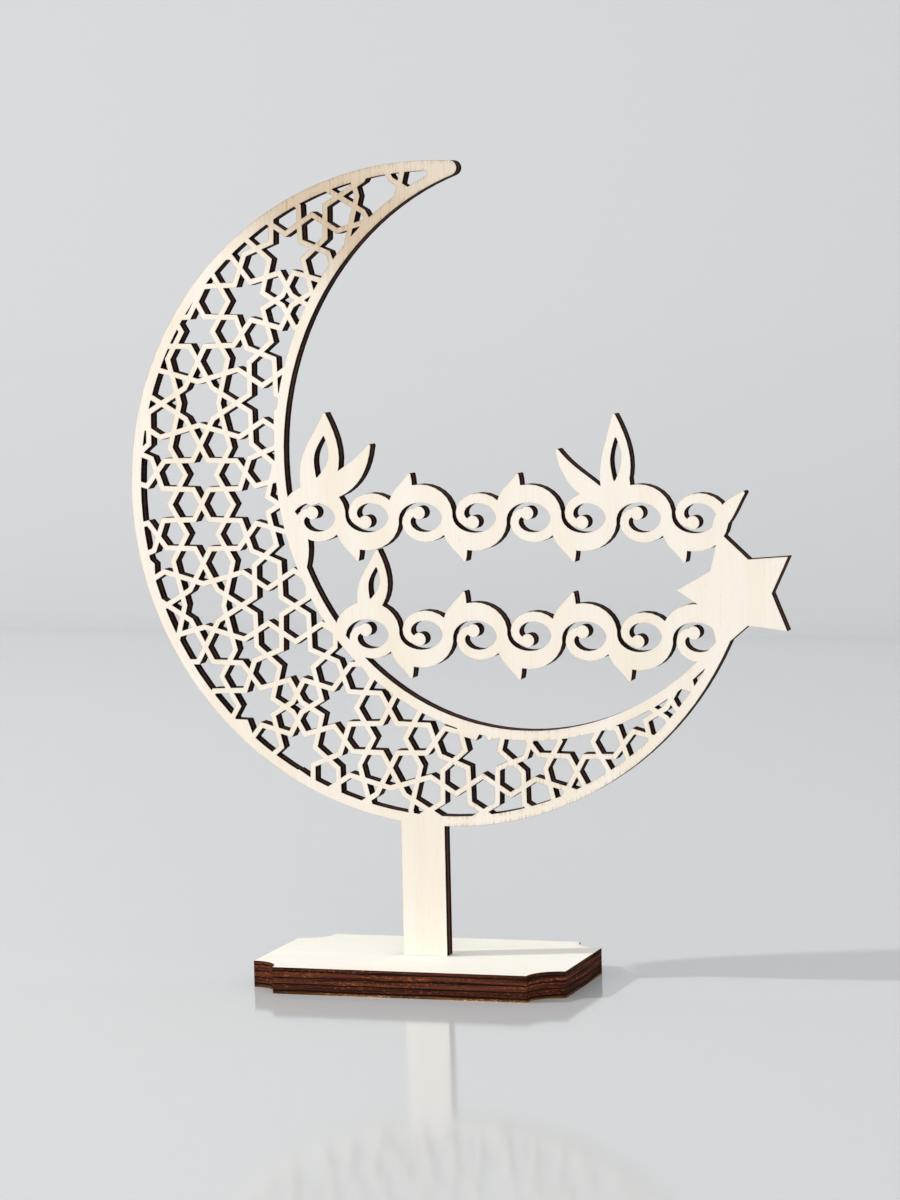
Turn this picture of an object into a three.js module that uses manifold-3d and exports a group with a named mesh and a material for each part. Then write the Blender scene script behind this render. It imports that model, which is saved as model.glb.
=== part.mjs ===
// Table ornament of laser-cut plywood: a crescent with a star lattice, which stands in a slotted base.
// Millimetres, +Z up, the pierced panel faces -Y. The origin is the centre of the base's underside.
import * as THREE from 'three';
import { mergeVertices } from 'three/addons/utils/BufferGeometryUtils.js';
import Module from 'manifold-3d';

const wasm = await Module();
wasm.setup();

// Base: a rectangle of plywood with scooped corners, face veneers outside and thicker plies inside.
const baseWidth = 61;
const baseDepth = 36.5;
const cornerScoopRadius = 5.8;
const faceVeneer = 0.7;
const innerPly = 1.2;
const innerPlyCount = 3;

// Panel sheet and the stem that stands in the base.
const panelThickness = 3.2;
const stemWidth = 8.6;
const stemLength = 25;
const tenonShoulder = 0.8;
const slotClearance = 0.1;

// Crescent: an outer ellipse and the ellipse of the open bay, whose centre lies right of it and higher.
const crescentHalfWidth = 60.9;
const crescentHalfHeight = 62.4;
const crescentTilt = THREE.MathUtils.degToRad(22.5);
const crescentRightOfStem = 4.3;
const bayHalfWidth = 48.4;
const bayHalfHeight = 53.2;
const bayTilt = THREE.MathUtils.degToRad(-10);
const bayRightOfCrescent = 18.4;
const bayAboveCrescent = 9.2;
const rimWidth = 1.9;
const hornTipRadius = 1.4;
const hornCutLength = 34;
const hornCutWidth = 11;

// Lattice: one cell of the star pattern, and the rosette that the pattern is laid out from.
const cellWidth = 36.5;
const cellHeight = 38.4;
const rosetteLeftOfCrescent = 47;
const rosetteAboveCrescent = 17.5;
const barWidth = 1;
const strapAngle = THREE.MathUtils.degToRad(30);
const smallestHoleArea = 0.5;

// The star pattern is solved in a cell of side 1. Its seven-fold circles lie this share of a cell from
// the cell's side lines, between two bounds, and its eight-fold ones hold a rosette.
const lowestRiseShare = 0.25;
const highestRiseShare = 0.3;
const rosetteFold = 8;
const contactTolerance = 1e-4;

// Star at the end of the lower horn. Its centre is set from the point where the two ellipses cross.
const starPoints = 5;
const starRadius = 11.6;
const starWaistRadius = 6.4;
const starTurn = THREE.MathUtils.degToRad(178.6);
const starLeftOfHorn = 1.2;
const starAboveHorn = 1.8;

// Scroll rows in the bay, with heights measured from the crescent's centre.
const rowHeight = 12.4;
const upperRowBelowCentre = 4.1;
const lowerRowBelowCentre = 26.1;
const rowEndInRim = 0.8;
const rowEndLeftOfStar = 2.6;
const upperRowScrolls = 8;
const lowerRowScrolls = 7;
const upperForkLeaves = 7;
const lowerForkLeaves = 5;
const vineWidth = 3.4;
const vineThinWidth = 2.1;
const tendrilWidth = 1.4;
const tendrilTurn = 1.4 * Math.PI;
const tendrilCurl = 0.8;
const tendrilSpread = 1.3;
const budRadius = 1.25;

// Leaves: the small one at each fork, and the tall ones. A tall leaf has its foot so many scrolls along
// the row from its left end. Its other sizes are shares of the row's height: the foot and the tip above
// the row's axis, the tip's lean beside the foot, and the width. Its bend is a share of its own length.
const forkLeafWidth = 3.4;
const forkLeafFoot = 2.2;
const forkLeafTip = 7.9;
const forkLeafLean = 3.2;
const forkLeafBend = 0.16;
const leafTipWidth = 0.7;
const leafFootSwell = 0.15;
const leafSwellPower = 0.85;
const upperLeaves = [
  { scrolls: 0.47, foot: 0.37, lean: 0.23, tip: 1.56, width: 0.61, bend: -0.1, eye: true },
  { scrolls: 0.66, foot: 0.37, lean: 0.77, tip: 1.08, width: 0.35, bend: -0.22 },
  { scrolls: 0.1, foot: 0, lean: 0.16, tip: -0.85, width: 0.27, bend: 0.1 },
  { scrolls: 6.02, foot: 0.3, lean: 0.05, tip: 1.52, width: 0.47, bend: -0.08, eye: true },
  { scrolls: 5.9, foot: 0.3, lean: -0.73, tip: 1, width: 0.29, bend: 0.2 },
  { scrolls: 7.9, foot: -0.16, lean: 0.4, tip: 0.37, width: 0.24, bend: 0.1 },
];
const lowerLeaves = [
  { scrolls: 0.49, foot: 0.37, lean: 0.19, tip: 1.26, width: 0.47, bend: -0.1, eye: true },
];
const eyeStart = 0.22;
const eyeEnd = 0.72;
const eyeWidthShare = 0.36;
const eyeTipWidth = 0.4;

// Fineness of the curves and of the searches.
const halvings = 50;
const ellipseSteps = 120;
const scoopSteps = 6;
const capSteps = 5;
const archSteps = 14;
const tendrilSteps = 16;
const leafSteps = 10;
const budSteps = 16;

const baseThickness = 2 * faceVeneer + innerPlyCount * innerPly;

/** An ellipse in the panel's plane, with a point, a parameter and an outward normal for each angle. */
class Ellipse {
  constructor(centre, halfWidth, halfHeight, tilt) {
    this.centre = centre;
    this.halfWidth = halfWidth;
    this.halfHeight = halfHeight;
    this.tilt = tilt;
  }

  point(angle) {
    return new THREE.Vector2(this.halfWidth * Math.cos(angle), this.halfHeight * Math.sin(angle))
      .rotateAround(new THREE.Vector2(), this.tilt)
      .add(this.centre);
  }

  normal(angle) {
    return new THREE.Vector2(Math.cos(angle) / this.halfWidth, Math.sin(angle) / this.halfHeight)
      .normalize()
      .rotateAround(new THREE.Vector2(), this.tilt);
  }

  local(point) {
    const turned = point.clone().sub(this.centre).rotateAround(new THREE.Vector2(), -this.tilt);
    return new THREE.Vector2(turned.x / this.halfWidth, turned.y / this.halfHeight);
  }

  holds(point) {
    return this.local(point).length() < 1;
  }

  grown(distance) {
    return new Ellipse(this.centre, this.halfWidth + distance, this.halfHeight + distance, this.tilt);
  }

  arc(from, to, steps) {
    return range(steps + 1).map((step) => this.point(from + ((to - from) * step) / steps));
  }
}

function range(count) {
  return Array.from({ length: count }, (unused, index) => index);
}

/** Halves the span between a value where the test holds and one where it fails. */
function bisect(holding, failing, test) {
  let inside = holding;
  let outside = failing;
  for (const unused of range(halvings)) {
    const middle = (inside + outside) / 2;
    if (test(middle)) {
      inside = middle;
    } else {
      outside = middle;
    }
  }
  return inside;
}

/** Turns a closed three.js geometry into a solid that can be cut and joined. */
function solidOf(geometry) {
  const bare = geometry.clone();
  bare.deleteAttribute('normal');
  bare.deleteAttribute('uv');
  const merged = mergeVertices(bare);
  return new wasm.Manifold(
    new wasm.Mesh({
      numProp: 3,
      vertProperties: new Float32Array(merged.attributes.position.array),
      triVerts: new Uint32Array(merged.index.array),
    })
  );
}

function geometryOf(solid) {
  const mesh = solid.getMesh();
  const geometry = new THREE.BufferGeometry();
  geometry.setAttribute('position', new THREE.BufferAttribute(new Float32Array(mesh.vertProperties), 3));
  geometry.setIndex(new THREE.BufferAttribute(new Uint32Array(mesh.triVerts), 1));
  return geometry;
}

/** A sheet of the given thickness with one outline or several that lie apart. */
function sheet(outlines, thickness) {
  const shapes = outlines.map((outline) => new THREE.Shape(outline));
  return solidOf(new THREE.ExtrudeGeometry(shapes, { depth: thickness, bevelEnabled: false }));
}

const panelSheet = (...outlines) => sheet(outlines, panelThickness);

/** A disc's outline, for buds and rounded ends. */
function circle(centre, radius, steps) {
  return range(steps).map((step) => {
    const angle = (2 * Math.PI * step) / steps;
    return new THREE.Vector2(centre.x + radius * Math.cos(angle), centre.y + radius * Math.sin(angle));
  });
}

/** The outline of a ribbon along a row of points, with round ends and its own width at each point. */
function ribbon(points, widthAt) {
  const last = points.length - 1;
  const side = points.map((point, index) => {
    const along = points[Math.min(index + 1, last)].clone().sub(points[Math.max(index - 1, 0)]).normalize();
    return new THREE.Vector2(-along.y, along.x).multiplyScalar(widthAt(index / last) / 2);
  });
  const left = points.map((point, index) => point.clone().add(side[index]));
  const right = points.map((point, index) => point.clone().sub(side[index])).reverse();
  const cap = (index, start) =>
    range(capSteps - 1).map((step) => {
      const turn = (-Math.PI * (step + 1)) / capSteps;
      return start.clone().rotateAround(new THREE.Vector2(), turn).add(points[index]);
    });
  return [...left, ...cap(last, side[last]), ...right, ...cap(0, side[0].clone().negate())].reverse();
}

/** Finds the circles of the star pattern, each touching its neighbours all round, in a cell of side 1. */
function packedCircles() {
  const radiiFor = (rise) => {
    const seven = (0.5 - rise) / Math.SQRT2;
    const six = (rise ** 2 - seven ** 2) / (2 * seven);
    const eight = 0.5 - 2 * six;
    const reach = eight + six;
    const five = (reach * eight * (2 - Math.SQRT2)) / (Math.SQRT2 * reach - 2 * (eight - six));
    const diagonal = (eight + five) / Math.SQRT2;
    return { rise, reach, diagonal, four: 0.5 - rise - seven, five, six, seven, eight };
  };
  const gapFor = ({ rise, diagonal, five, seven }) =>
    Math.hypot(0.5 - diagonal, rise - diagonal) - five - seven;
  const sign = Math.sign(gapFor(radiiFor(lowestRiseShare)));
  const { rise, reach, diagonal, ...radius } = radiiFor(
    bisect(lowestRiseShare, highestRiseShare, (trial) => Math.sign(gapFor(radiiFor(trial))) === sign)
  );
  const circles = [
    [0, 0, radius.eight],
    [0.5, 0.5, radius.four],
  ];
  for (const side of [1, -1]) {
    circles.push([side * reach, 0, radius.six], [0, side * reach, radius.six]);
    circles.push([0.5, side * rise, radius.seven], [side * rise, 0.5, radius.seven]);
    circles.push([side * diagonal, diagonal, radius.five], [side * diagonal, -diagonal, radius.five]);
  }
  return circles;
}

/** Lays the cell's circles over every cell that the test wants, and finds what each circle touches. */
function circleField(columns, rows) {
  const cell = packedCircles();
  const field = columns.flatMap((column) =>
    rows.flatMap((row) =>
      cell.map(([x, y, radius]) => ({ centre: new THREE.Vector2(column + x, row + y), radius }))
    )
  );
  const touch = (one, other) =>
    Math.abs(one.centre.distanceTo(other.centre) - one.radius - other.radius) < contactTolerance;
  field.forEach((circle, index) => {
    circle.index = index;
    circle.contacts = field
      .filter((other) => other !== circle && touch(circle, other))
      .map((neighbour) => ({ neighbour, angle: neighbour.centre.clone().sub(circle.centre).angle() }))
      .sort((one, other) => one.angle - other.angle);
  });
  return field;
}

const polar = (circle, distance, angle) =>
  new THREE.Vector2(distance * Math.cos(angle), distance * Math.sin(angle)).add(circle.centre);

/** The strap lines that leave each contact at the strap angle cross halfway to the next contact. */
function strapCrossings(circle) {
  const { contacts, radius } = circle;
  return contacts.map((contact, index) => {
    const next = contacts[(index + 1) % contacts.length];
    const gap = THREE.MathUtils.euclideanModulo(next.angle - contact.angle, 2 * Math.PI);
    const distance = (radius * Math.sin(strapAngle)) / Math.sin(strapAngle + gap / 2);
    return polar(circle, distance, contact.angle + gap / 2);
  });
}

/** Star-shaped holes inside a circle. Straps cross twice in the eight-fold one, round a central rosette. */
function starHoles(circle) {
  const crossings = strapCrossings(circle);
  const points = circle.contacts.map(({ angle }) => polar(circle, circle.radius, angle));
  const count = points.length;
  if (count < rosetteFold) return [points.flatMap((point, index) => [point, crossings[index]])];
  const step = (2 * Math.PI) / count;
  const innerDistance = (circle.radius * Math.sin(strapAngle)) / Math.sin(strapAngle + step);
  const inner = circle.contacts.map(({ angle }) => polar(circle, innerDistance, angle));
  const kites = range(count).map((index) => [
    points[index],
    crossings[index],
    inner[index],
    crossings[(index + count - 1) % count],
  ]);
  const rosette = range(count).flatMap((index) => [crossings[index], inner[(index + 1) % count]]);
  return [...kites, rosette];
}

/** Six-sided holes where three circles touch one another, one for each such three. */
function cornerHoles(circle, crossingsOf) {
  const { contacts, index } = circle;
  return contacts.flatMap(({ neighbour }, turn) => {
    const second = contacts[(turn + 1) % contacts.length].neighbour;
    const three = [circle, neighbour, second];
    const touching = neighbour.contacts.some((contact) => contact.neighbour === second);
    if (!touching || neighbour.index < index || second.index < index) return [];
    const middle = new THREE.Vector2();
    three.forEach(({ centre }) => middle.addScaledVector(centre, 1 / 3));
    const nearest = (points) =>
      points.reduce((best, point) => (point.distanceTo(middle) < best.distanceTo(middle) ? point : best));
    const contactPoints = three.map((one, side) => {
      const other = three[(side + 1) % 3];
      return polar(one, one.radius, other.centre.clone().sub(one.centre).angle());
    });
    const crossings = three.map((one) => nearest(crossingsOf(one)));
    const aroundMiddle = (point) => point.clone().sub(middle).angle();
    return [[...contactPoints, ...crossings].sort((one, other) => aroundMiddle(one) - aroundMiddle(other))];
  });
}

/** Moves every side of a counter-clockwise outline inwards by the same distance. */
function inset(outline, distance) {
  const count = outline.length;
  const inward = outline.map((point, index) => {
    const along = outline[(index + 1) % count].clone().sub(point).normalize();
    return new THREE.Vector2(-along.y, along.x);
  });
  return outline.map((point, index) => {
    const before = inward[(index + count - 1) % count];
    const after = inward[index];
    const scale = distance / (1 + before.dot(after));
    return point.clone().addScaledVector(before, scale).addScaledVector(after, scale);
  });
}

/** All holes of the lattice near the crescent, in the panel's plane, each smaller by half a bar all round. */
function latticeHoles(crescent, bay) {
  const origin = crescent.centre
    .clone()
    .add(new THREE.Vector2(-rosetteLeftOfCrescent, rosetteAboveCrescent));
  const reach = Math.max(crescent.halfWidth, crescent.halfHeight);
  const cellsFrom = (centre, start, size) => {
    const first = Math.floor((centre - reach - start) / size) - 1;
    const last = Math.ceil((centre + reach - start) / size) + 1;
    return range(last - first + 1).map((index) => first + index);
  };
  const columns = cellsFrom(crescent.centre.x, origin.x, cellWidth);
  const rows = cellsFrom(crescent.centre.y, origin.y, cellHeight);
  const place = ({ x, y }) => new THREE.Vector2(origin.x + x * cellWidth, origin.y + y * cellHeight);
  const nearCrescent = (outline) => outline.some((point) => crescent.holds(point) && !bay.holds(point));
  const field = circleField(columns, rows).filter(({ contacts }) => contacts.length > 3);
  const inReach = field.filter(({ centre }) => crescent.grown(cellWidth / 2).holds(place(centre)));
  return inReach
    .flatMap((circle) => [...starHoles(circle), ...cornerHoles(circle, strapCrossings)])
    .map((outline) => outline.map(place))
    .filter(nearCrescent)
    .map((outline) => inset(outline, barWidth / 2))
    .filter((outline) => THREE.ShapeUtils.area(outline) > smallestHoleArea);
}

/** The rim and lattice of the crescent: the two ellipses, with the holes cut through between the rims. */
function latticedCrescent(crescent, bay) {
  const full = (ellipse) => panelSheet(ellipse.arc(0, 2 * Math.PI, ellipseSteps).slice(1));
  const window = full(crescent.grown(-rimWidth)).subtract(full(bay.grown(rimWidth)));
  const cutters = window
    .intersect(panelSheet(...latticeHoles(crescent, bay)))
    .decompose()
    .filter((cutter) => cutter.volume() > smallestHoleArea * panelThickness);
  return full(crescent).subtract(full(bay)).subtract(wasm.Manifold.union(cutters));
}

/** The point where the two ellipses cross, at the end of a horn. */
function hornEnd(crescent, bay, innerAngle, outerAngle) {
  return bay.point(bisect(innerAngle, outerAngle, (angle) => crescent.holds(bay.point(angle))));
}

/** A disc that rounds the upper horn's point, and the block beyond it that is cut away. */
function roundedHorn(crescent, bay, solid) {
  const quarter = Math.PI / 2;
  const thickness = (angle) => {
    const start = bay.point(angle);
    const normal = bay.normal(angle);
    return bisect(0, crescent.halfHeight, (distance) =>
      crescent.holds(start.clone().addScaledVector(normal, distance))
    );
  };
  const angle = bisect(2 * quarter, quarter, (trial) => {
    const start = bay.point(trial);
    return crescent.holds(start) && thickness(trial) > 2 * hornTipRadius;
  });
  const centre = bay.point(angle).addScaledVector(bay.normal(angle), hornTipRadius);
  const normal = bay.normal(angle);
  const onward = new THREE.Vector2(normal.y, -normal.x);
  const halfCut = hornCutWidth / 2;
  const beyond = [
    [0, -halfCut],
    [hornCutLength, -halfCut],
    [hornCutLength, halfCut],
    [0, halfCut],
  ].map(([along, across]) => centre.clone().addScaledVector(onward, along).addScaledVector(normal, across));
  return solid.subtract(panelSheet(beyond)).add(panelSheet(circle(centre, hornTipRadius, 4 * capSteps)));
}

/** The star's outline, whose points and waists take turns. */
function starOutline(centre) {
  const step = Math.PI / starPoints;
  return range(2 * starPoints).map((index) => {
    const radius = index % 2 === 0 ? starRadius : starWaistRadius;
    const angle = starTurn + index * step;
    return new THREE.Vector2(centre.x + radius * Math.cos(angle), centre.y + radius * Math.sin(angle));
  });
}

/** The spine of a leaf, bent sideways by a share of its length. */
function leafSpine({ base, tip, bend }) {
  const along = tip.clone().sub(base);
  const middle = base.clone().add(tip).multiplyScalar(0.5);
  const control = middle.add(new THREE.Vector2(-along.y, along.x).multiplyScalar(bend));
  return new THREE.QuadraticBezierCurve(base, control, tip);
}

/** A leaf on a bent spine, widest below its middle and drawn out to a narrow tip. */
function leaf(parts) {
  const swell = (share) =>
    Math.sin(Math.PI * THREE.MathUtils.lerp(leafFootSwell, 1, share) ** leafSwellPower);
  const widthAt = (share) => leafTipWidth + (parts.width - leafTipWidth) * swell(share);
  return ribbon(leafSpine(parts).getPoints(leafSteps), widthAt);
}

/** The eye that is cut out of a large leaf, on the middle of the leaf's own spine. */
function leafEye(parts) {
  const spine = leafSpine(parts);
  const points = range(leafSteps + 1).map((step) =>
    spine.getPoint(THREE.MathUtils.lerp(eyeStart, eyeEnd, step / leafSteps))
  );
  const widest = eyeWidthShare * parts.width - eyeTipWidth;
  return ribbon(points, (share) => eyeTipWidth + widest * Math.sin(Math.PI * share));
}

/** One scroll of a row: a bold arch of the vine and the tendril that curls back inside it to a bud. */
function scroll(place, start, pitch, rise, side) {
  const at = (angle, radius) =>
    place(start + (pitch / 2) * (1 + radius * Math.cos(angle)), side * rise * radius * Math.sin(angle));
  const arch = range(archSteps + 1).map((step) => at(Math.PI * (1 - step / archSteps), 1));
  const archWidth = (share) => vineThinWidth + (vineWidth - vineThinWidth) * Math.sin(Math.PI * share);
  const tendril = range(tendrilSteps + 1).map((step) => {
    const share = step / tendrilSteps;
    return at(-tendrilTurn * share, 1 - tendrilCurl * share ** tendrilSpread);
  });
  const tendrilWidthAt = (share) => THREE.MathUtils.lerp(vineThinWidth, tendrilWidth, share);
  const bud = circle(tendril[tendrilSteps], budRadius, budSteps);
  return [ribbon(arch, archWidth), ribbon(tendril, tendrilWidthAt), bud];
}

/** A running vine of scrolls that arch up and down in turn, with a leaf at each of its first forks. */
function scrollRow(place, pitch, count, leafCount) {
  const rise = (rowHeight - vineWidth) / 2;
  return range(count).flatMap((index) => {
    const side = index % 2 === 0 ? 1 : -1;
    const start = pitch * index;
    const fork = start + pitch;
    const outlines = scroll(place, start, pitch, rise, side);
    const forkLeaf = leaf({
      base: place(fork, -side * forkLeafFoot),
      tip: place(fork + forkLeafLean, -side * forkLeafTip),
      width: forkLeafWidth,
      bend: side * forkLeafBend,
    });
    return index < leafCount ? [...outlines, forkLeaf] : outlines;
  });
}

/** Joins outlines into one solid, whatever they overlap. */
function joined(outlines) {
  return wasm.Manifold.union(outlines.map((outline) => panelSheet(outline)));
}

/** The two rows of scrolls in the bay, and the tall leaves that rise from them. */
function scrollwork(crescent, bay, star) {
  const rimAt = (height, direction) => {
    const far = 2 * bay.halfWidth * direction;
    const inBay = (offset) => bay.holds(new THREE.Vector2(bay.centre.x + offset, height));
    return bay.centre.x + bisect(0, far, inBay) + direction * rowEndInRim;
  };
  const row = (height, right, count, leafCount, leaves) => {
    const left = rimAt(height, -1);
    const place = (along, rise) => new THREE.Vector2(left + along, height + rise);
    const pitch = (right - left) / count;
    const tall = leaves.map(({ scrolls, foot, lean, tip, width, ...shape }) => ({
      base: place(scrolls * pitch, foot * rowHeight),
      tip: place(scrolls * pitch + lean * rowHeight, tip * rowHeight),
      width: width * rowHeight,
      ...shape,
    }));
    const eyes = tall.filter(({ eye }) => eye).map(leafEye);
    const vine = scrollRow(place, pitch, count, leafCount);
    return joined([...vine, ...tall.map(leaf)]).subtract(joined(eyes));
  };
  const upper = crescent.centre.y - upperRowBelowCentre;
  const lower = crescent.centre.y - lowerRowBelowCentre;
  const upperEnd = star.x - rowEndLeftOfStar;
  const upperRow = row(upper, upperEnd, upperRowScrolls, upperForkLeaves, upperLeaves);
  const lowerRow = row(lower, rimAt(lower, 1), lowerRowScrolls, lowerForkLeaves, lowerLeaves);
  const limit = panelSheet(bay.grown(rimWidth / 2).arc(0, 2 * Math.PI, ellipseSteps).slice(1));
  return upperRow.add(lowerRow).intersect(limit);
}

/** The panel in its own plane: x to the right of the stem, y up from the base's top face. */
function panelSolid() {
  const crescentAt = (height) => {
    const centre = new THREE.Vector2(crescentRightOfStem, height);
    return new Ellipse(centre, crescentHalfWidth, crescentHalfHeight, crescentTilt);
  };
  const trial = crescentAt(0);
  const lowerEdge = (x) =>
    bisect(0, -2 * crescentHalfHeight, (y) => trial.holds(new THREE.Vector2(x, y)));
  const centreHeight = stemLength - lowerEdge(0);
  const crescent = crescentAt(centreHeight);
  const bay = new Ellipse(
    crescent.centre.clone().add(new THREE.Vector2(bayRightOfCrescent, bayAboveCrescent)),
    bayHalfWidth,
    bayHalfHeight,
    bayTilt
  );
  const star = hornEnd(crescent, bay, 1.5 * Math.PI, 2 * Math.PI)
    .add(new THREE.Vector2(-starLeftOfHorn, starAboveHorn));
  const halfStem = stemWidth / 2;
  const halfTenon = halfStem - tenonShoulder;
  const tenonEnd = -baseThickness;
  const stemTop = centreHeight + Math.max(lowerEdge(-halfStem), lowerEdge(halfStem)) + rimWidth / 2;
  const stem = [
    [-halfStem, stemTop],
    [-halfStem, 0],
    [-halfTenon, 0],
    [-halfTenon, tenonEnd],
    [halfTenon, tenonEnd],
    [halfTenon, 0],
    [halfStem, 0],
    [halfStem, stemTop],
  ].map(([x, y]) => new THREE.Vector2(x, y));
  return roundedHorn(crescent, bay, latticedCrescent(crescent, bay))
    .add(panelSheet(starOutline(star)))
    .add(scrollwork(crescent, bay, star))
    .add(panelSheet(stem));
}

/** The base's outline, a rectangle whose corners are scooped out round, and the slot in its middle. */
function baseShape() {
  const halfWidth = baseWidth / 2;
  const halfDepth = baseDepth / 2;
  const shape = new THREE.Shape();
  const quarter = Math.PI / 2;
  shape.absarc(halfWidth, halfDepth, cornerScoopRadius, -quarter, -2 * quarter, true);
  shape.absarc(-halfWidth, halfDepth, cornerScoopRadius, 0, -quarter, true);
  shape.absarc(-halfWidth, -halfDepth, cornerScoopRadius, quarter, 0, true);
  shape.absarc(halfWidth, -halfDepth, cornerScoopRadius, 2 * quarter, quarter, true);
  const halfSlotWidth = stemWidth / 2 - tenonShoulder + slotClearance;
  const halfSlotDepth = panelThickness / 2 + slotClearance;
  const slot = new THREE.Path([
    new THREE.Vector2(-halfSlotWidth, -halfSlotDepth),
    new THREE.Vector2(-halfSlotWidth, halfSlotDepth),
    new THREE.Vector2(halfSlotWidth, halfSlotDepth),
    new THREE.Vector2(halfSlotWidth, -halfSlotDepth),
  ]);
  shape.holes.push(slot);
  return shape;
}

const paleFace = new THREE.MeshStandardMaterial({ color: 0xf6ead2, roughness: 0.75, metalness: 0 });
const brownPly = new THREE.MeshStandardMaterial({ color: 0x6b3a22, roughness: 0.8, metalness: 0 });
const darkPly = new THREE.MeshStandardMaterial({ color: 0x3f211a, roughness: 0.85, metalness: 0 });

/** The plies of the base from the underside up, each with its name, thickness and material. */
const plies = [
  ['base_back_veneer', faceVeneer, paleFace],
  ...range(innerPlyCount).map((index) => [
    `base_inner_ply_${index + 1}`,
    innerPly,
    index % 2 === 0 ? darkPly : brownPly,
  ]),
  ['base_face_veneer', faceVeneer, paleFace],
];

const ornament = new THREE.Group();
ornament.name = 'crescent_ornament';

const base = new THREE.Group();
let plyBottom = 0;
for (const [name, thickness, material] of plies) {
  const shape = baseShape();
  const geometry = new THREE.ExtrudeGeometry(shape, {
    depth: thickness,
    bevelEnabled: false,
    curveSegments: scoopSteps,
  });
  const ply = new THREE.Mesh(geometry, material);
  ply.name = name;
  ply.position.z = plyBottom;
  base.add(ply);
  plyBottom += thickness;
}
ornament.add(base);

const panel = new THREE.Mesh(geometryOf(panelSolid()), paleFace);
panel.name = 'crescent_panel';
panel.rotation.x = Math.PI / 2;
panel.position.set(0, panelThickness / 2, baseThickness);
ornament.add(panel);

export default ornament;
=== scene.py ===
"""Dresses the crescent table ornament: laser-cut basswood plywood with charred edges, on a layered base."""

import logging
import math
from dataclasses import dataclass, field
from enum import Enum, IntEnum

import bmesh
import bpy
from bpy.types import Material, Node, NodeSocket, Object
from mathutils import Matrix, Vector


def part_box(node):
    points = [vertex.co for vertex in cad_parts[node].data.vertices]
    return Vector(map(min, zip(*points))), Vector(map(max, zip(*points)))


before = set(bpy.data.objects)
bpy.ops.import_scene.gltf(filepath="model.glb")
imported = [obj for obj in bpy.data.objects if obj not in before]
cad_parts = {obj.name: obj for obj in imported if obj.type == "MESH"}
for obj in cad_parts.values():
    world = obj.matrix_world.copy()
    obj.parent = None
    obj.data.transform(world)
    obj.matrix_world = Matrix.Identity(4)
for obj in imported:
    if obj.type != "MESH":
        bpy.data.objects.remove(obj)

Triple = tuple[float, float, float]
Colour = Triple
Value = float | NodeSocket
Tint = Colour | NodeSocket

MILLIMETRE = 0.001

SRGB_KNEE = 0.04045
SRGB_SLOPE = 12.92
SRGB_OFFSET = 0.055
SRGB_GAMMA = 2.4

MIX_FACTOR = 0
MIX_COLOURS = (6, 7)
MIX_COLOUR_OUT = 2
MIX_NUMBERS = (2, 3)
MIX_NUMBER_OUT = 0

CORNER_SAMPLES = 6
NOISE_SHIFT = (1.0, 1.7, 2.3)
SPECK_SHIFT = (1.0, -1.0, 1.3)
SPECK_CORE = 0.6
RELIEF_DEPTH = 0.03
BARE_WOOD_GLOSS = 0.04

log = logging.getLogger("crescent_ornament")


def srgb(red: int, green: int, blue: int) -> Colour:
    """Gives a colour as the eye sees it in the linear values that shaders take.

    Args:
        red: Red from 0 to 255.
        green: Green from 0 to 255.
        blue: Blue from 0 to 255.

    Returns:
        The three linear values.
    """
    shares = (red / 255, green / 255, blue / 255)
    return tuple(
        share / SRGB_SLOPE
        if share <= SRGB_KNEE
        else ((share + SRGB_OFFSET) / (1 + SRGB_OFFSET)) ** SRGB_GAMMA
        for share in shares
    )


class Axis(IntEnum):
    """The frame's axes: X along the base, Y through the panel and Z up the stem."""

    X = 0
    Y = 1
    Z = 2


class SheetPlane(Enum):
    """The way a sheet of plywood stands, by the axis that its faces look along."""

    UPRIGHT = Axis.Y
    LYING = Axis.Z


class PlyRun(Enum):
    """The way a ply's fibres run in the base."""

    ALONG_WIDTH = Axis.X
    ALONG_DEPTH = Axis.Y


class Shift(float, Enum):
    """How far each kind of mark is shifted, so that no two kinds fall together."""

    SPECK = 1.9
    CORE_BORDER = 2.2
    CUT_EDGE = 2.6
    SCORCH_PATCH = 3.3
    FLECK = 4.4
    GLUE_LINE = 4.9
    CLOUD = 5.1
    STREAK = 6.6
    TICK = 7.7
    WORN_PATCH = 8.1
    PORE = 9.7


@dataclass(frozen=True)
class Span:
    """An eased step of a number: where it begins and ends, and what it gives at each end."""

    low: float
    high: float
    to_low: float = 0.0
    to_high: float = 1.0


CORNER_BEND = Span(1.0, 0.72)
CUT_ACROSS = Span(0.04, 0.55)
SQUARE_TO_FACE = Span(0.6, 0.8)


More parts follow.
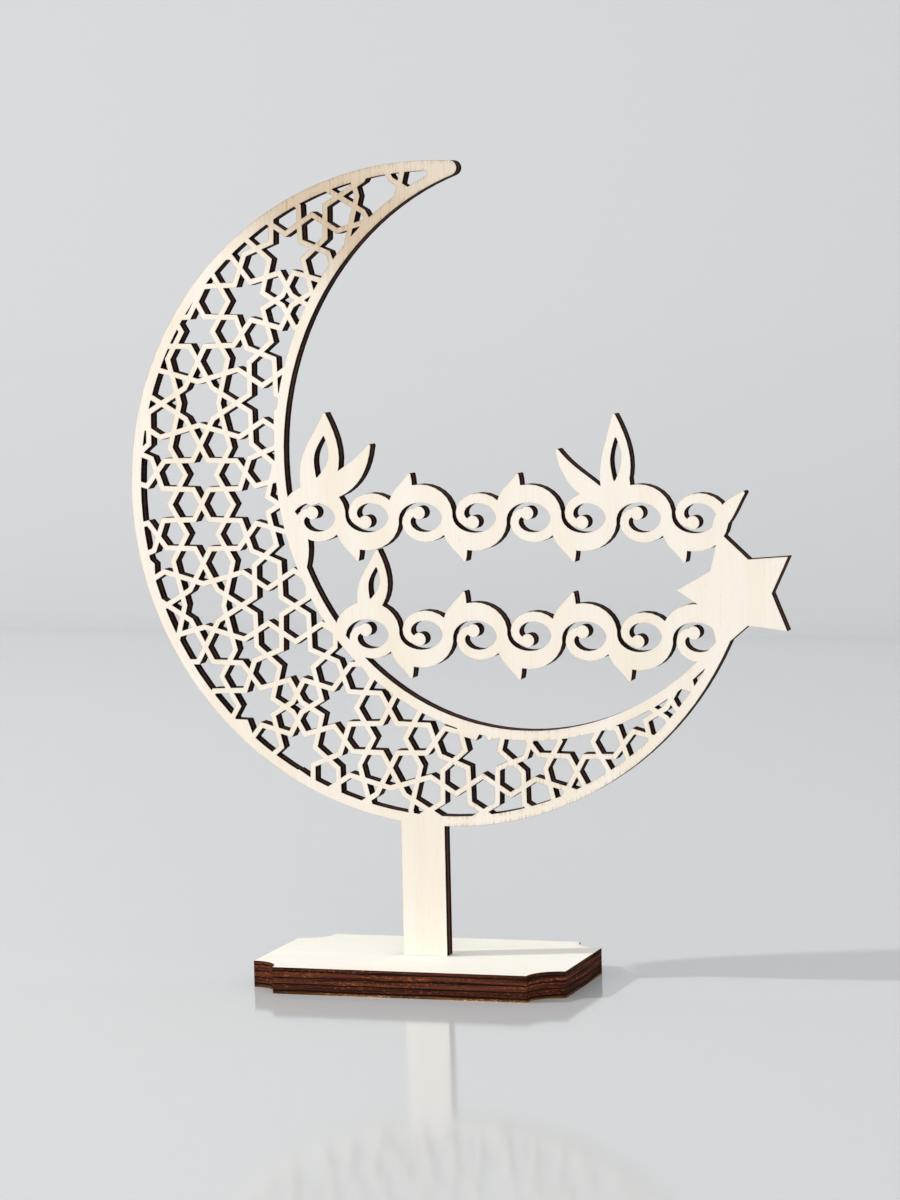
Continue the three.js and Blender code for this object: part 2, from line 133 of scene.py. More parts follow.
@dataclass(frozen=True)
class Veneer:
    """The bare face of basswood plywood: its tones, its marks' sizes in millimetres, and their strength."""

    cream: Colour = srgb(239, 231, 219)
    honey: Colour = srgb(230, 214, 186)
    # Painted shadow: the darker beige and the darker streaks laid over the panel's upper horn.
    painted_shadow: Colour = srgb(204, 185, 160)
    streak: Colour = srgb(206, 184, 152)
    shadowed_streak: Colour = srgb(152, 124, 96)
    scorch: Colour = srgb(116, 74, 50)
    tick: Colour = srgb(122, 72, 50)
    speck: Colour = srgb(120, 78, 50)
    grain_width: float = 0.32
    grain_length: float = 9.0
    grain_span: Span = Span(0.50, 0.74)
    grain_share: float = 0.13
    # Painted shadow: how much stronger the streaks get under it.
    shadow_grain_share: float = 0.28
    cloud_width: float = 7.0
    cloud_length: float = 60.0
    cloud_span: Span = Span(0.35, 0.75)
    cloud_share: float = 0.4
    pore_width: float = 0.16
    pore_length: float = 1.3
    pore_span: Span = Span(0.70, 0.80)
    pore_share: float = 0.22
    pore_depth: float = 1.5
    scorch_width: float = 0.24
    scorch_patch: float = 3.0
    scorch_span: Span = Span(0.40, 0.66, 0.32, 0.8)
    scorch_smoke: float = 0.45
    tick_width: float = 0.27
    tick_length: float = 1.7
    tick_fibre: float = 6.8
    tick_spread: float = 1.6
    tick_span: Span = Span(0.92, 1.24)
    tick_share: float = 0.40
    speck_spacing: float = 12.0
    speck_radius: float = 0.02
    speck_share: float = 0.7
    roughness: Span = Span(0.3, 0.8, 0.58, 0.78)


@dataclass(frozen=True)
class Char:
    """A laser-cut edge: soot, the brown wood below it, and flecks where the soot has rubbed off.

    Lengths are in millimetres. Streaks and flecks lie in the sheet, and kerf lines run through it.
    """

    soot: Colour = srgb(12, 6, 5)
    brown: Colour = srgb(96, 58, 44)
    fleck: Colour = srgb(128, 76, 50)
    kerf_pitch: float = 0.24
    kerf_length: float = 6.0
    kerf_relief: float = 0.4
    streak_length: float = 14.0
    streak_height: float = 0.4
    streak_span: Span = Span(0.34, 0.60, 0.2, 1.0)
    fleck_length: float = 0.8
    fleck_height: float = 0.13
    fleck_span: Span = Span(0.54, 0.64)
    fleck_share: float = 0.6
    fleck_relief: float = 0.7
    patch_length: float = 11.0
    patch_height: float = 0.8
    patch_span: Span = Span(0.38, 0.58, 0.15, 1.0)
    roughness: Span = Span(0.3, 0.7, 0.64, 0.88)


class Graph:
    """A material's nodes, with a short method for each step that the finishes need."""

    def __init__(self, name: str) -> None:
        """Starts an empty material of this name with a principled shader.

        Args:
            name: The material's name.
        """
        self.material: Material = bpy.data.materials.new(name)
        self.material.use_nodes = True
        self.tree = self.material.node_tree
        self.tree.nodes.clear()
        output = self.tree.nodes.new("ShaderNodeOutputMaterial")
        self.shader: Node = self.tree.nodes.new("ShaderNodeBsdfPrincipled")
        self.tree.links.new(self.shader.outputs["BSDF"], output.inputs["Surface"])
        self.texture: Node = self.tree.nodes.new("ShaderNodeTexCoord")

    def feed(self, socket: NodeSocket, value: Value | Tint) -> None:
        """Links a socket to another node's output, or sets its number or colour.

        Args:
            socket: The input to fill.
            value: An output to link, a number, or a colour.
        """
        if isinstance(value, NodeSocket):
            self.tree.links.new(value, socket)
        elif isinstance(value, tuple) and socket.type == "RGBA":
            socket.default_value = (*value, 1.0)
        else:
            socket.default_value = value

    def sum_of(self, operation: str, first: Value, second: Value = 0.0, clamp: bool = False) -> NodeSocket:
        """Works out one step of arithmetic on every point of the surface.

        Args:
            operation: The name of the sum, such as ADD or MULTIPLY.
            first: The first number.
            second: The second number, where the sum takes one.
            clamp: Whether the result stays between 0 and 1.

        Returns:
            The result.
        """
        node = self.tree.nodes.new("ShaderNodeMath")
        node.operation = operation
        node.use_clamp = clamp
        self.feed(node.inputs[0], first)
        self.feed(node.inputs[1], second)
        return node.outputs[0]

    def swing(self, noise: NodeSocket, reach: float) -> NodeSocket:
        """Turns a random number round one half into one between minus and plus the reach."""
        return self.sum_of("MULTIPLY", self.sum_of("SUBTRACT", noise, 0.5), 2 * reach)

    def ramp(self, value: Value, span: Span) -> NodeSocket:
        """Eases a value over a span.

        Args:
            value: The number to ease.
            span: The span, which may also run downwards.

        Returns:
            The eased number.
        """
        node = self.tree.nodes.new("ShaderNodeMapRange")
        node.interpolation_type = "SMOOTHSTEP"
        self.feed(node.inputs["Value"], value)
        node.inputs["From Min"].default_value = span.low
        node.inputs["From Max"].default_value = span.high
        node.inputs["To Min"].default_value = span.to_low
        node.inputs["To Max"].default_value = span.to_high
        return node.outputs["Result"]

    def blend(self, share: Value, under: Tint, over: Tint) -> NodeSocket:
        """Lays one colour over another.

        Args:
            share: How much of the upper colour shows.
            under: The lower colour.
            over: The upper colour.

        Returns:
            The mixed colour.
        """
        node = self.tree.nodes.new("ShaderNodeMix")
        node.data_type = "RGBA"
        self.feed(node.inputs[MIX_FACTOR], share)
        for index, colour in zip(MIX_COLOURS, (under, over)):
            self.feed(node.inputs[index], colour)
        return node.outputs[MIX_COLOUR_OUT]

    def weigh(self, share: Value, under: Value, over: Value) -> NodeSocket:
        """Mixes two numbers as blend mixes two colours.

        Args:
            share: How much of the second number counts.
            under: The first number.
            over: The second number.

        Returns:
            The mixed number.
        """
        node = self.tree.nodes.new("ShaderNodeMix")
        node.data_type = "FLOAT"
        self.feed(node.inputs[MIX_FACTOR], share)
        for index, number in zip(MIX_NUMBERS, (under, over)):
            self.feed(node.inputs[index], number)
        return node.outputs[MIX_NUMBER_OUT]

    def place(self) -> NodeSocket:
        """Gives each point's place in the part's own frame, in metres."""
        return self.texture.outputs["Object"]

    def along(self, vector: NodeSocket, axis: Axis) -> NodeSocket:
        """Takes the one of a vector's three numbers that belongs to an axis.

        Args:
            vector: The vector to split.
            axis: The axis.

        Returns:
            That number.
        """
        node = self.tree.nodes.new("ShaderNodeSeparateXYZ")
        self.feed(node.inputs[0], vector)
        return node.outputs[axis]

    def millimetres(self, axis: Axis) -> NodeSocket:
        """Gives each point's place along an axis of the part's own frame, in millimetres."""
        return self.sum_of("DIVIDE", self.along(self.place(), axis), MILLIMETRE)

    def facing(self, axis: Axis) -> NodeSocket:
        """Says how squarely the surface looks along an axis, either way.

        Args:
            axis: The axis.

        Returns:
            1 where the surface looks straight along the axis, and 0 where it lies along it.
        """
        return self.sum_of("ABSOLUTE", self.along(self.texture.outputs["Normal"], axis))

    def stretched(self, spans: Triple, shift: Triple) -> NodeSocket:
        """Gives each point's place in a space where a mark is one unit long each way.

        Args:
            spans: A mark's length along X, Y and Z, in millimetres.
            shift: How far the marks are moved, in units.

        Returns:
            The place in that space.
        """
        node = self.tree.nodes.new("ShaderNodeMapping")
        self.feed(node.inputs["Vector"], self.place())
        node.inputs["Location"].default_value = shift
        node.inputs["Scale"].default_value = tuple(1 / (span * MILLIMETRE) for span in spans)
        return node.outputs["Vector"]

    def noise(self, spans: Triple, detail: float, seed: float, rough: float = 0.5) -> NodeSocket:
        """Makes soft random marks of about the given size.

        Args:
            spans: The marks' length along X, Y and Z, in millimetres.
            detail: How many finer layers are laid over the first.
            seed: A number that shifts the marks, so that two layers differ.
            rough: How strong the finer layers are.

        Returns:
            A number round one half.
        """
        node = self.tree.nodes.new("ShaderNodeTexNoise")
        shift = tuple(seed * share for share in NOISE_SHIFT)
        self.feed(node.inputs["Vector"], self.stretched(spans, shift))
        node.inputs["Scale"].default_value = 1.0
        node.inputs["Detail"].default_value = detail
        node.inputs["Roughness"].default_value = rough
        return node.outputs["Fac"]

    def specks(self, spacing: float, radius: float, seed: float) -> NodeSocket:
        """Scatters small round dots.

        Args:
            spacing: The mean distance between two dots, in millimetres.
            radius: A dot's radius as a share of the spacing.
            seed: A number that shifts the dots.

        Returns:
            1 in a dot and 0 outside.
        """
        node = self.tree.nodes.new("ShaderNodeTexVoronoi")
        shift = tuple(seed * share for share in SPECK_SHIFT)
        self.feed(node.inputs["Vector"], self.stretched((spacing,) * 3, shift))
        node.inputs["Scale"].default_value = 1.0
        return self.ramp(node.outputs["Distance"], Span(radius, radius * SPECK_CORE))

    def rounded(self, reach: float) -> NodeSocket:
        """Gives the surface's direction as it would be if every corner were rounded.

        Args:
            reach: How far from a corner its rounding begins, in millimetres.

        Returns:
            The direction, which tilts towards the other surface beside a corner.
        """
        bevel = self.tree.nodes.new("ShaderNodeBevel")
        bevel.samples = CORNER_SAMPLES
        bevel.inputs["Radius"].default_value = reach * MILLIMETRE
        return bevel.outputs["Normal"]

    def near_corner(self, reach: float) -> NodeSocket:
        """Marks the strip of a surface that lies beside a corner.

        Args:
            reach: The strip's width in millimetres.

        Returns:
            1 at the corner, falling to 0 at the strip's inner side.
        """
        surface = self.tree.nodes.new("ShaderNodeNewGeometry")
        product = self.tree.nodes.new("ShaderNodeVectorMath")
        product.operation = "DOT_PRODUCT"
        self.feed(product.inputs[0], self.rounded(reach))
        self.feed(product.inputs[1], surface.outputs["True Normal"])
        return self.ramp(product.outputs["Value"], CORNER_BEND)

    def near_cut_across(self, reach: float, fibres: Axis) -> NodeSocket:
        """Marks the strip beside a cut that crosses the fibres.

        Args:
            reach: The strip's width in millimetres.
            fibres: The axis that the fibres run along.

        Returns:
            1 at a cut straight across the fibres, and 0 beside one along them.
        """
        tilt = self.sum_of("ABSOLUTE", self.along(self.rounded(reach), fibres))
        return self.ramp(tilt, CUT_ACROSS)

    def emboss(self, height: NodeSocket) -> None:
        """Raises the surface by a height field, where 1 stands for the full depth of the relief."""
        bump = self.tree.nodes.new("ShaderNodeBump")
        bump.inputs["Strength"].default_value = 1.0
        bump.inputs["Distance"].default_value = RELIEF_DEPTH * MILLIMETRE
        self.feed(bump.inputs["Height"], height)
        self.feed(self.shader.inputs["Normal"], bump.outputs["Normal"])


@dataclass(frozen=True)
class Layer:
    """What one finish gives to a surface: its colour, its roughness and its relief."""

    colour: NodeSocket
    roughness: NodeSocket
    relief: NodeSocket


@dataclass(frozen=True)
class FaceGrain:
    """Paints a bare veneer face, with its fibres along one axis."""

    veneer: Veneer
    fibres: Axis
    seed: float

    def spans(self, width: float, length: float) -> Triple:
        """Gives the size of a mark that is drawn out along the fibres, for X, Y and Z."""
        return tuple(length if axis == self.fibres else width for axis in Axis)

    def wood(self, graph: Graph, grain: NodeSocket, painted_shadow: Value) -> NodeSocket:
        """Colours the clean wood: broad honey clouds, the painted shadow on the horn and fine streaks.

        Args:
            graph: The material's nodes.
            grain: The fine streaks, as a number round one half.
            painted_shadow: How much painted shadow lies on a place, from 0 to 1.

        Returns:
            The wood's colour.
        """
        tones = self.veneer
        clouds = self.spans(tones.cloud_width, tones.cloud_length)
        cloud = graph.noise(clouds, detail=2.0, seed=self.seed + Shift.CLOUD)
        honey_share = graph.sum_of("MULTIPLY", graph.ramp(cloud, tones.cloud_span), tones.cloud_share)
        colour = graph.blend(honey_share, tones.cream, tones.honey)
        # Painted shadow: darkens the wood and strengthens its streaks where it lies.
        colour = graph.blend(painted_shadow, colour, tones.painted_shadow)
        added = graph.sum_of("MULTIPLY", painted_shadow, tones.shadow_grain_share)
        contrast = graph.sum_of("ADD", added, tones.grain_share)
        share = graph.sum_of("MULTIPLY", graph.ramp(grain, tones.grain_span), contrast)
        return graph.blend(share, colour, graph.blend(painted_shadow, tones.streak, tones.shadowed_streak))

    def scorch_line(self, graph: Graph, smoke: Value) -> NodeSocket:
        """Marks the thin line that the laser scorched along the cuts.

        Args:
            graph: The material's nodes.
            smoke: How strongly the smoke marked the fibres beside the cuts, from 0 to 1.

        Returns:
            The line's strength, from 0 to 1.
        """
        tones = self.veneer
        seed = self.seed + Shift.SCORCH_PATCH
        patches = graph.noise((tones.scorch_patch,) * 3, detail=2.0, seed=seed)
        smoked = graph.sum_of("MULTIPLY", smoke, tones.scorch_smoke)
        strength = graph.sum_of("ADD", graph.ramp(patches, tones.scorch_span), smoked, clamp=True)
        return graph.sum_of("MULTIPLY", graph.near_corner(tones.scorch_width), strength)

    def ticks(self, graph: Graph, smoke: Value) -> NodeSocket:
        """Marks single fibres that took up smoke where a cut crosses them.

        Args:
            graph: The material's nodes.
            smoke: How strongly the smoke marked the fibres beside the cuts, from 0 to 1.

        Returns:
            The ticks' strength, from 0 to 1.
        """
        tones = self.veneer
        spans = self.spans(tones.tick_width, tones.tick_fibre)
        fibres = graph.noise(spans, detail=1.0, seed=self.seed + Shift.TICK, rough=0.6)
        cut = graph.near_cut_across(tones.tick_length, self.fibres)
        reach = graph.sum_of("ADD", cut, graph.swing(fibres, tones.tick_spread))
        tick = graph.sum_of("MULTIPLY", graph.ramp(reach, tones.tick_span), smoke)
        return graph.sum_of("MULTIPLY", tick, tones.tick_share)

    def scorched(self, graph: Graph, colour: NodeSocket, smoke: Value) -> NodeSocket:
        """Adds what the laser left on a face: the scorch line, the ticks and a few specks.

        Args:
            graph: The material's nodes.
            colour: The clean wood's colour.
            smoke: How strongly the smoke marked the fibres beside the cuts, from 0 to 1.

        Returns:
            The marked wood's colour.
        """
        tones = self.veneer
        colour = graph.blend(self.scorch_line(graph, smoke), colour, tones.scorch)
        colour = graph.blend(self.ticks(graph, smoke), colour, tones.tick)
        specks = graph.specks(tones.speck_spacing, tones.speck_radius, self.seed + Shift.SPECK)
        return graph.blend(graph.sum_of("MULTIPLY", specks, tones.speck_share), colour, tones.speck)

    def layer(self, graph: Graph, painted_shadow: Value, smoke: Value) -> Layer:
        """Builds the veneer's colour, roughness and relief.

        Args:
            graph: The material's nodes.
            painted_shadow: How much painted shadow lies on a place, from 0 to 1.
            smoke: How strongly the smoke marked the fibres beside the cuts, from 0 to 1.

        Returns:
            The finished layer.
        """
        tones = self.veneer
        streaks = self.spans(tones.grain_width, tones.grain_length)
        grain = graph.noise(streaks, detail=3.0, seed=self.seed, rough=0.6)
        dashes = self.spans(tones.pore_width, tones.pore_length)
        pores = graph.noise(dashes, detail=1.0, seed=self.seed + Shift.PORE)
        pore_share = graph.sum_of("MULTIPLY", graph.ramp(pores, tones.pore_span), tones.pore_share)
        colour = graph.blend(pore_share, self.wood(graph, grain, painted_shadow), tones.scorch)
        dents = graph.sum_of("MULTIPLY", pore_share, tones.pore_depth)
        relief = graph.sum_of("SUBTRACT", grain, dents)
        return Layer(self.scorched(graph, colour, smoke), graph.ramp(grain, tones.roughness), relief)


@dataclass(frozen=True)
class CutEdge:
    """Paints a laser-cut edge of a sheet: soot, streaks of brown wood, flecks and faint kerf lines."""

    char: Char
    plane: SheetPlane
    seed: float

    def spans(self, in_sheet: float, through: float) -> Triple:
        """Gives a mark's size in the sheet and through its thickness, for X, Y and Z."""
        return tuple(through if axis == self.plane.value else in_sheet for axis in Axis)

    def layer(self, graph: Graph, bare: Value) -> Layer:
        """Builds the edge's colour, roughness and relief.

        Args:
            graph: The material's nodes.
            bare: How brown the ply shows through the soot at each place, from 0 to 1.

        Returns:
            The finished layer.
        """
        burnt = self.char
        lines = self.spans(burnt.kerf_pitch, burnt.kerf_length)
        kerf = graph.noise(lines, detail=1.5, seed=self.seed, rough=0.6)
        streaks = self.spans(burnt.streak_length, burnt.streak_height)
        streak = graph.noise(streaks, detail=2.0, seed=self.seed + Shift.STREAK, rough=0.6)
        flecks = self.spans(burnt.fleck_length, burnt.fleck_height)
        fleck = graph.noise(flecks, detail=3.0, seed=self.seed + Shift.FLECK, rough=0.65)
        patches = self.spans(burnt.patch_length, burnt.patch_height)
        patch = graph.noise(patches, detail=1.0, seed=self.seed + Shift.WORN_PATCH)
        brown_share = graph.sum_of("MULTIPLY", graph.ramp(streak, burnt.streak_span), bare)
        colour = graph.blend(brown_share, burnt.soot, burnt.brown)
        show = graph.sum_of("MULTIPLY", graph.ramp(fleck, burnt.fleck_span), brown_share)
        show = graph.sum_of("MULTIPLY", show, graph.ramp(patch, burnt.patch_span))
        colour = graph.blend(graph.sum_of("MULTIPLY", show, burnt.fleck_share), colour, burnt.fleck)
        ridges = graph.sum_of("MULTIPLY", kerf, burnt.kerf_relief)
        relief = graph.sum_of("ADD", ridges, graph.sum_of("MULTIPLY", fleck, burnt.fleck_relief))
        return Layer(colour, graph.ramp(kerf, burnt.roughness), relief)


def finish_sheet(graph: Graph, face: Layer, edge: Layer, plane: SheetPlane) -> Material:
    """Puts a face's finish on the surfaces that look out of a sheet, and an edge's on all others.

    Args:
        graph: The material's nodes.
        face: The finish of the two faces.
        edge: The finish of everything that was cut.
        plane: The way the sheet stands.

    Returns:
        The finished material.
    """
    is_face = graph.ramp(graph.facing(plane.value), SQUARE_TO_FACE)
    shader = graph.shader.inputs
    graph.feed(shader["Base Color"], graph.blend(is_face, edge.colour, face.colour))
    graph.feed(shader["Roughness"], graph.weigh(is_face, edge.roughness, face.roughness))
    shader["Specular IOR Level"].default_value = BARE_WOOD_GLOSS
    graph.emboss(graph.weigh(is_face, edge.relief, face.relief))
    return graph.material


def dress(node: str, material: Material) -> Object:
    """Gives a node of the frame its finish.

    Args:
        node: The node's name.
        material: Its material.

    Returns:
        The node's object.
    """
    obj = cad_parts[node]
    obj.data.materials.clear()
    obj.data.materials.append(material)
    return obj


@dataclass
class CrescentPanel:
    """The pierced upright sheet: crescent, lattice, star, scrolls and stem, cut from three plies."""

    node: str = "crescent_panel"
    face_seed: float = 0.4
    edge_seed: float = 6.2
    core_half: float = 0.46
    core_blur: float = 0.16
    core_wander: float = 0.16
    core_wander_length: float = 1.8
    # Painted shadow over the upper horn: the slant of its border, its span across that border, where it
    # fades towards the tip, and how far right it reaches.
    shadow_slant: float = 60.6
    shadow_span: Span = Span(100.0, 117.0)
    fainter_shadow_tip: Span = Span(121.0, 137.0, 1.0, 0.58)
    left_of_bay: Span = Span(34.0, 20.0)
    smoke_right: Span = Span(1.0, 9.0)
    smoke_low: Span = Span(54.0, 42.0)
    smoke_everywhere: float = 0.12
    veneer: Veneer = field(default_factory=Veneer)
    char: Char = field(default_factory=Char)

    def core_band(self, graph: Graph) -> NodeSocket:
        """Marks the brown middle ply on the cut edges, with an uneven border to the sooty outer plies."""
        depth = graph.sum_of("ABSOLUTE", graph.millimetres(Axis.Y))
        wander = graph.noise((self.core_wander_length,) * 3, detail=2.0, seed=Shift.CORE_BORDER)
        border = Span(self.core_half * (1 + self.core_blur), self.core_half * (1 - self.core_blur))
        return graph.ramp(graph.sum_of("ADD", depth, graph.swing(wander, self.core_wander)), border)

    def painted_shadow(self, graph: Graph) -> NodeSocket:
        """Marks the painted shadow on the upper horn: a darker beige from a slanting border on, and fainter
        at its tip.
        """
        slant = math.radians(self.shadow_slant)
        rightward = graph.sum_of("MULTIPLY", graph.millimetres(Axis.X), math.cos(slant))
        upward = graph.sum_of("MULTIPLY", graph.millimetres(Axis.Z), math.sin(slant))
        along = graph.sum_of("ADD", rightward, upward)
        horn = graph.ramp(graph.millimetres(Axis.X), self.left_of_bay)
        dark = graph.sum_of("MULTIPLY", graph.ramp(along, self.shadow_span), horn)
        return graph.sum_of("MULTIPLY", dark, graph.ramp(along, self.fainter_shadow_tip))

    def smoke(self, graph: Graph, painted_shadow: NodeSocket) -> NodeSocket:
        """Marks where smoke stained the fibres: most on the horn, where it follows the painted shadow's
        mask, and on the lower rim right of the stem.

        Args:
            graph: The material's nodes.
            painted_shadow: How much painted shadow lies on a place, from 0 to 1.

        Returns:
            The strength of the stain, from 0 to 1.
        """
        right = graph.ramp(graph.millimetres(Axis.X), self.smoke_right)
        low = graph.ramp(graph.millimetres(Axis.Z), self.smoke_low)
        # The horn's stain follows the painted shadow's mask.
        most = graph.sum_of("MAXIMUM", graph.sum_of("MULTIPLY", right, low), painted_shadow)
        return graph.sum_of("ADD", most, self.smoke_everywhere, clamp=True)

    def finish(self) -> Material:
        """Builds the panel's material, with upright grain on its faces."""
        graph = Graph("charred_basswood_panel")
        # Painted shadow laid over the upper horn.
        painted_shadow = self.painted_shadow(graph)
        grain = FaceGrain(self.veneer, Axis.Z, self.face_seed)
        face = grain.layer(graph, painted_shadow, self.smoke(graph, painted_shadow))
        edge = CutEdge(self.char, SheetPlane.UPRIGHT, self.edge_seed).layer(graph, self.core_band(graph))
        return finish_sheet(graph, face, edge, SheetPlane.UPRIGHT)

    def build(self) -> list[Object]:
        """Dresses the panel and gives its object."""
        return [dress(self.node, self.finish())]


@dataclass
class LayeredBase:
    """The base of five plies: pale veneers outside, and three thicker plies that are charred at the cut."""

    face_veneer: str = "base_face_veneer"
    back_veneer: str = "base_back_veneer"
    inner_plies: tuple[str, ...] = ("base_inner_ply_1", "base_inner_ply_2", "base_inner_ply_3")
    inner_shares: tuple[float, ...] = (0.5, 1.0, 0.95)
    face_share: float = 0.7
    back_seed: float = 1.3
    inner_seed: float = 11.0
    inner_seed_step: float = 3.7
    face_seed: float = 27.1
    glue_line: float = 0.16
    glue_wander: float = 0.2
    glue_wander_spans: Triple = (7.0, 7.0, 3.0)
    glue_dark: float = 0.2
    glue_fades: float = 1.4
    golden_span: Span = Span(0.605, 0.11)
    smoke: float = 0.1
    veneer: Veneer = field(
        default_factory=lambda: Veneer(cream=srgb(241, 237, 228), honey=srgb(236, 228, 212))
    )
    char: Char = field(
        default_factory=lambda: Char(
            soot=srgb(22, 12, 10), brown=srgb(94, 50, 36), fleck=srgb(192, 112, 62), fleck_share=0.95
        )
    )
    golden: Char = field(
        default_factory=lambda: Char(
            soot=srgb(30, 15, 11), brown=srgb(134, 86, 48), fleck=srgb(232, 186, 122), fleck_share=1.0
        )
    )

    def wavy_height(self, graph: Graph) -> NodeSocket:
        """Gives the height above the underside, with a wander that makes the ply lines uneven."""
        wander = graph.noise(self.glue_wander_spans, detail=2.0, seed=Shift.GLUE_LINE)
        shift = graph.swing(wander, self.glue_wander)
        return graph.sum_of("ADD", graph.millimetres(Axis.Z), shift)

    def away_from_glue(self, graph: Graph, node: str, share: float) -> NodeSocket:
        """Marks the middle of a ply's edge, which the glue lines above and below leave brown.

        Args:
            graph: The material's nodes.
            node: The ply's name.
            share: How brown the middle gets, from 0 to 1.

        Returns:
            0 at the glue lines, rising to the share at the middle.
        """
        low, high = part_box(node)
        middle = (low.z + high.z) / 2 / MILLIMETRE
        half = (high.z - low.z) / 2 / MILLIMETRE
        off_middle = graph.sum_of("ABSOLUTE", graph.sum_of("SUBTRACT", self.wavy_height(graph), middle))
        dark_from = half - self.glue_dark * self.glue_line
        brown_to = half - self.glue_fades * self.glue_line
        return graph.ramp(off_middle, Span(dark_from, brown_to, 0.0, share))

    def near_underside(self, graph: Graph) -> NodeSocket:
        """Marks the thin line at the very bottom that the laser left golden."""
        return graph.ramp(self.wavy_height(graph), self.golden_span)

    def ply(self, node: str, run: PlyRun, seed: float, share: float | None = None) -> Object:
        """Builds one ply's material and dresses the ply with it.

        Args:
            node: The ply's name.
            run: The way its fibres run.
            seed: A number that makes this ply's marks its own.
            share: How brown its edge gets between the glue lines. The lowest ply has None, for its
                golden line.

        Returns:
            The ply's object.
        """
        graph = Graph(f"{node}_wood")
        face = FaceGrain(self.veneer, run.value, seed).layer(graph, 0.0, self.smoke)
        bare = self.near_underside(graph) if share is None else self.away_from_glue(graph, node, share)
        char = self.golden if share is None else self.char
        edge = CutEdge(char, SheetPlane.LYING, seed + Shift.CUT_EDGE).layer(graph, bare)
        return dress(node, finish_sheet(graph, face, edge, SheetPlane.LYING))

    def build(self) -> list[Object]:
        """Dresses the five plies from the underside up and gives their objects."""
        plies = [self.ply(self.back_veneer, PlyRun.ALONG_WIDTH, self.back_seed)]
        runs = (PlyRun.ALONG_DEPTH, PlyRun.ALONG_WIDTH, PlyRun.ALONG_DEPTH)
        for index, (node, run, share) in enumerate(zip(self.inner_plies, runs, self.inner_shares)):
            plies.append(self.ply(node, run, self.inner_seed + self.inner_seed_step * index, share))
        plies.append(self.ply(self.face_veneer, PlyRun.ALONG_WIDTH, self.face_seed, self.face_share))
        return plies


@dataclass
class Backdrop:
    """A pale floor that sweeps up behind the ornament, in metres."""

    half_width: float = 5.0
    front: float = -5.0
    back: float = 0.62
    sweep: float = 0.35
    top: float = 1.8
    steps: int = 24
    tone: Colour = srgb(200, 201, 202)
    roughness: float = 0.1

    def profile(self) -> list[tuple[float, float]]:
        """Gives the floor's side view as points of depth and height."""
        turn = [math.pi / 2 * step / self.steps for step in range(self.steps + 1)]
        curve = [
            (self.back + self.sweep * math.sin(angle), self.sweep * (1 - math.cos(angle))) for angle in turn
        ]
        return [(self.front, 0.0), *curve, (self.back + self.sweep, self.top)]

    def build(self) -> Object:
        """Builds the floor and paints it."""
        mesh = bmesh.new()
        rows = [
            [mesh.verts.new((side * self.half_width, depth, height)) for side in (-1, 1)]
            for depth, height in self.profile()
        ]
        for near, far in zip(rows, rows[1:]):
            mesh.faces.new((near[0], near[1], far[1], far[0])).smooth = True
        data = bpy.data.meshes.new("studio_floor")
        mesh.to_mesh(data)
        mesh.free()
        floor = bpy.data.objects.new("studio_floor", data)
        bpy.context.scene.collection.objects.link(floor)
        graph = Graph("studio_floor_paint")
        graph.feed(graph.shader.inputs["Base Color"], self.tone)
        graph.feed(graph.shader.inputs["Roughness"], self.roughness)
        data.materials.append(graph.material)
        return floor


@dataclass
class SoftLight:
    """One rectangular soft light, in metres and watts."""

    name: str
    place: Triple
    width: float
    height: float
    power: float
    tint: Colour = (1.0, 1.0, 1.0)
    aim: Triple = (0.0, 0.0, 0.08)

    def build(self) -> Object:
        """Hangs the light and turns it to what it lights."""
        data = bpy.data.lights.new(self.name, "AREA")
        data.shape = "RECTANGLE"
        data.size = self.width
        data.size_y = self.height
        data.energy = self.power
        data.color = self.tint
        light = bpy.data.objects.new(self.name, data)
        light.location = self.place
        light.visible_glossy = False
        light.rotation_mode = "QUATERNION"
        light.rotation_quaternion = (Vector(self.aim) - Vector(self.place)).to_track_quat("-Z", "Y")
        bpy.context.scene.collection.objects.link(light)
        return light


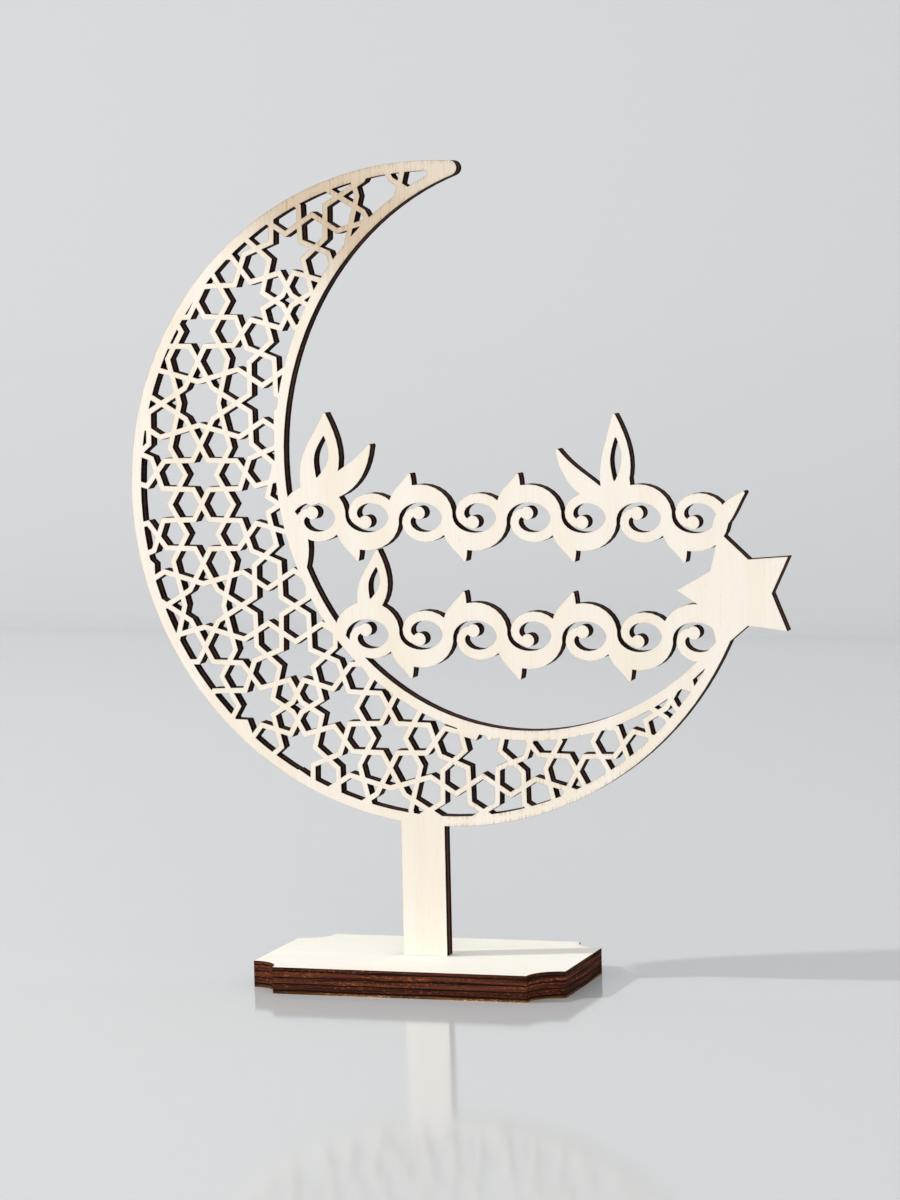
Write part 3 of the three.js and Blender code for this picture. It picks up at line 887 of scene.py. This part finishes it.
@dataclass
class Studio:
    """The floor, the soft lights and the even light of the room."""

    room_tone: Colour = srgb(236, 238, 240)
    room_strength: float = 0.92
    floor: Backdrop = field(default_factory=Backdrop)
    lights: tuple[SoftLight, ...] = (
        SoftLight(
            "window_left",
            (-1.234, -0.403, 0.82),
            width=0.05,
            height=0.05,
            power=16.0,
            tint=(1.0, 0.98, 0.95),
        ),
        SoftLight("front_fill", (0.35, -1.6, 0.7), width=1.2, height=0.9, power=9.0),
    )

    def build(self) -> None:
        """Builds the stage, the lights and the room."""
        self.floor.build()
        for light in self.lights:
            light.build()
        world = bpy.data.worlds.new("room")
        world.use_nodes = True
        background = world.node_tree.nodes["Background"]
        background.inputs["Color"].default_value = (*self.room_tone, 1.0)
        background.inputs["Strength"].default_value = self.room_strength
        bpy.context.scene.world = world
        bpy.context.scene.view_settings.view_transform = "Standard"


@dataclass
class PhotoCamera:
    """The camera, placed and turned as it was for the photograph.

    Its place is in metres, and its lens and sensor are in millimetres.
    """

    place: Triple = (0.24388, -0.74889, 0.14565)
    right: Triple = (0.95341, 0.30091, -0.02176)
    up: Triple = (-0.00733, 0.0952, 0.99543)
    lens: float = 126.61
    sensor: float = 36.0
    nearest: float = 0.02
    farthest: float = 20.0

    def build(self) -> Object:
        """Sets up the camera and makes it the scene's own."""
        data = bpy.data.cameras.new("photo_camera")
        data.lens = self.lens
        data.sensor_width = self.sensor
        data.clip_start = self.nearest
        data.clip_end = self.farthest
        camera = bpy.data.objects.new("photo_camera", data)
        bpy.context.scene.collection.objects.link(camera)
        right = Vector(self.right).normalized()
        back = right.cross(Vector(self.up)).normalized()
        turn = Matrix((right, back.cross(right), back)).transposed()
        camera.matrix_world = Matrix.Translation(self.place) @ turn.to_4x4()
        bpy.context.scene.camera = camera
        return camera


def main() -> None:
    """Builds the studio and dresses the ornament."""
    logging.basicConfig(level=logging.INFO, format="%(message)s")
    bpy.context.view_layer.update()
    PhotoCamera().build()
    Studio().build()
    for assembly in (CrescentPanel(), LayeredBase()):
        for piece in assembly.build():
            finish = piece.data.materials[0].name
            log.info("%s: %s dressed in %s", type(assembly).__name__, piece.name, finish)


if __name__ == "__main__":
    main()
